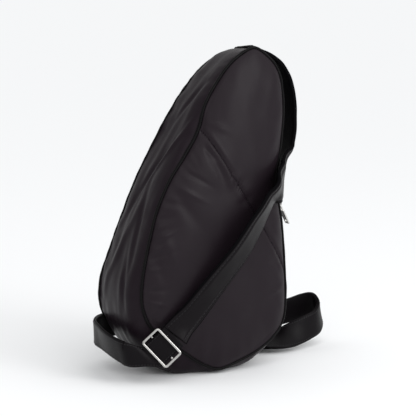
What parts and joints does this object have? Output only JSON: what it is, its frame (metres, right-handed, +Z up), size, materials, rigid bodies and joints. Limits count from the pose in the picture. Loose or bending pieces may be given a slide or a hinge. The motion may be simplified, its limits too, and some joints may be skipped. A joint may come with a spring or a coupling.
{
  "type": "sling bag",
  "caption": "Teardrop sling bag with a wide padded strap, an adjustable webbing tail and a side zip, standing on its base.",
  "frame": {"origin": "centre of the flat base the bag stands on", "axes": "+Z up through the top of the bag, -Y out of the front panel, +X to the zipped right side seen from the front"},
  "size_m": [0.3402, 0.1663, 0.398],
  "materials": {
    "shell_fabric": "satin",
    "strap_lining": "matte",
    "lining_fabric": "satin",
    "foam": "matte",
    "piping_fabric": "satin",
    "board": "matte",
    "zip_tape": "matte",
    "zip_coil": "satin",
    "webbing": "satin",
    "nickel": "polished"
  },
  "bodies": {
    "bag_body": {"left_gusset": "shell_fabric", "bottom_gusset": "shell_fabric", "right_gusset_front": "shell_fabric", "right_gusset_back": "shell_fabric", "front_panel_upper": "shell_fabric", "front_panel_lower": "shell_fabric", "back_panel": "shell_fabric", "front_padding": "foam", "back_padding": "foam", "front_piping": "piping_fabric", "back_piping": "piping_fabric", "lining": "lining_fabric", "base_board": "board", "inner_pocket": "lining_fabric", "zip_tape_front": "zip_tape", "zip_tape_back": "zip_tape", "zip_coil_front": "zip_coil", "zip_coil_back": "zip_coil", "zip_stop_low": "zip_coil", "zip_stop_high": "zip_coil", "strap_cover_outer": "shell_fabric", "strap_cover_inner": "strap_lining", "strap_foam": "foam", "strap_webbing": "webbing", "anchor_tab": "webbing"},
    "zip_slider": {"zip_slider": "nickel"},
    "zip_pull": {"zip_pull": "nickel"},
    "adjuster": {"adjuster_frame": "nickel", "adjuster_bar": "nickel", "adjuster_loop": "webbing"},
    "anchor_ring": {"anchor_ring": "nickel"}
  },
  "joints": [
    {"name": "zip_slide", "type": "slide", "parent": "bag_body", "child": "zip_slider", "axis": [0, -0.0797, -0.9968], "range_m": [0, 0.11]},
    {"name": "zip_pull_swing", "type": "hinge", "parent": "zip_slider", "child": "zip_pull", "pos_m": [0.1132, -0.02717, 0.19787], "axis": [0, 1, 0], "range_deg": [-110, 20]},
    {"name": "adjuster_slide", "type": "slide", "parent": "bag_body", "child": "adjuster", "axis": [0.6884, -0.2431, 0.6834], "range_m": [0, 0.006]},
    {"name": "anchor_ring_rock", "type": "hinge", "parent": "bag_body", "child": "anchor_ring", "pos_m": [0.08154, 0.02125, 0.0086], "axis": [-0.2502, -0.9677, 0.03], "range_deg": [-5, 5]}
  ]
}
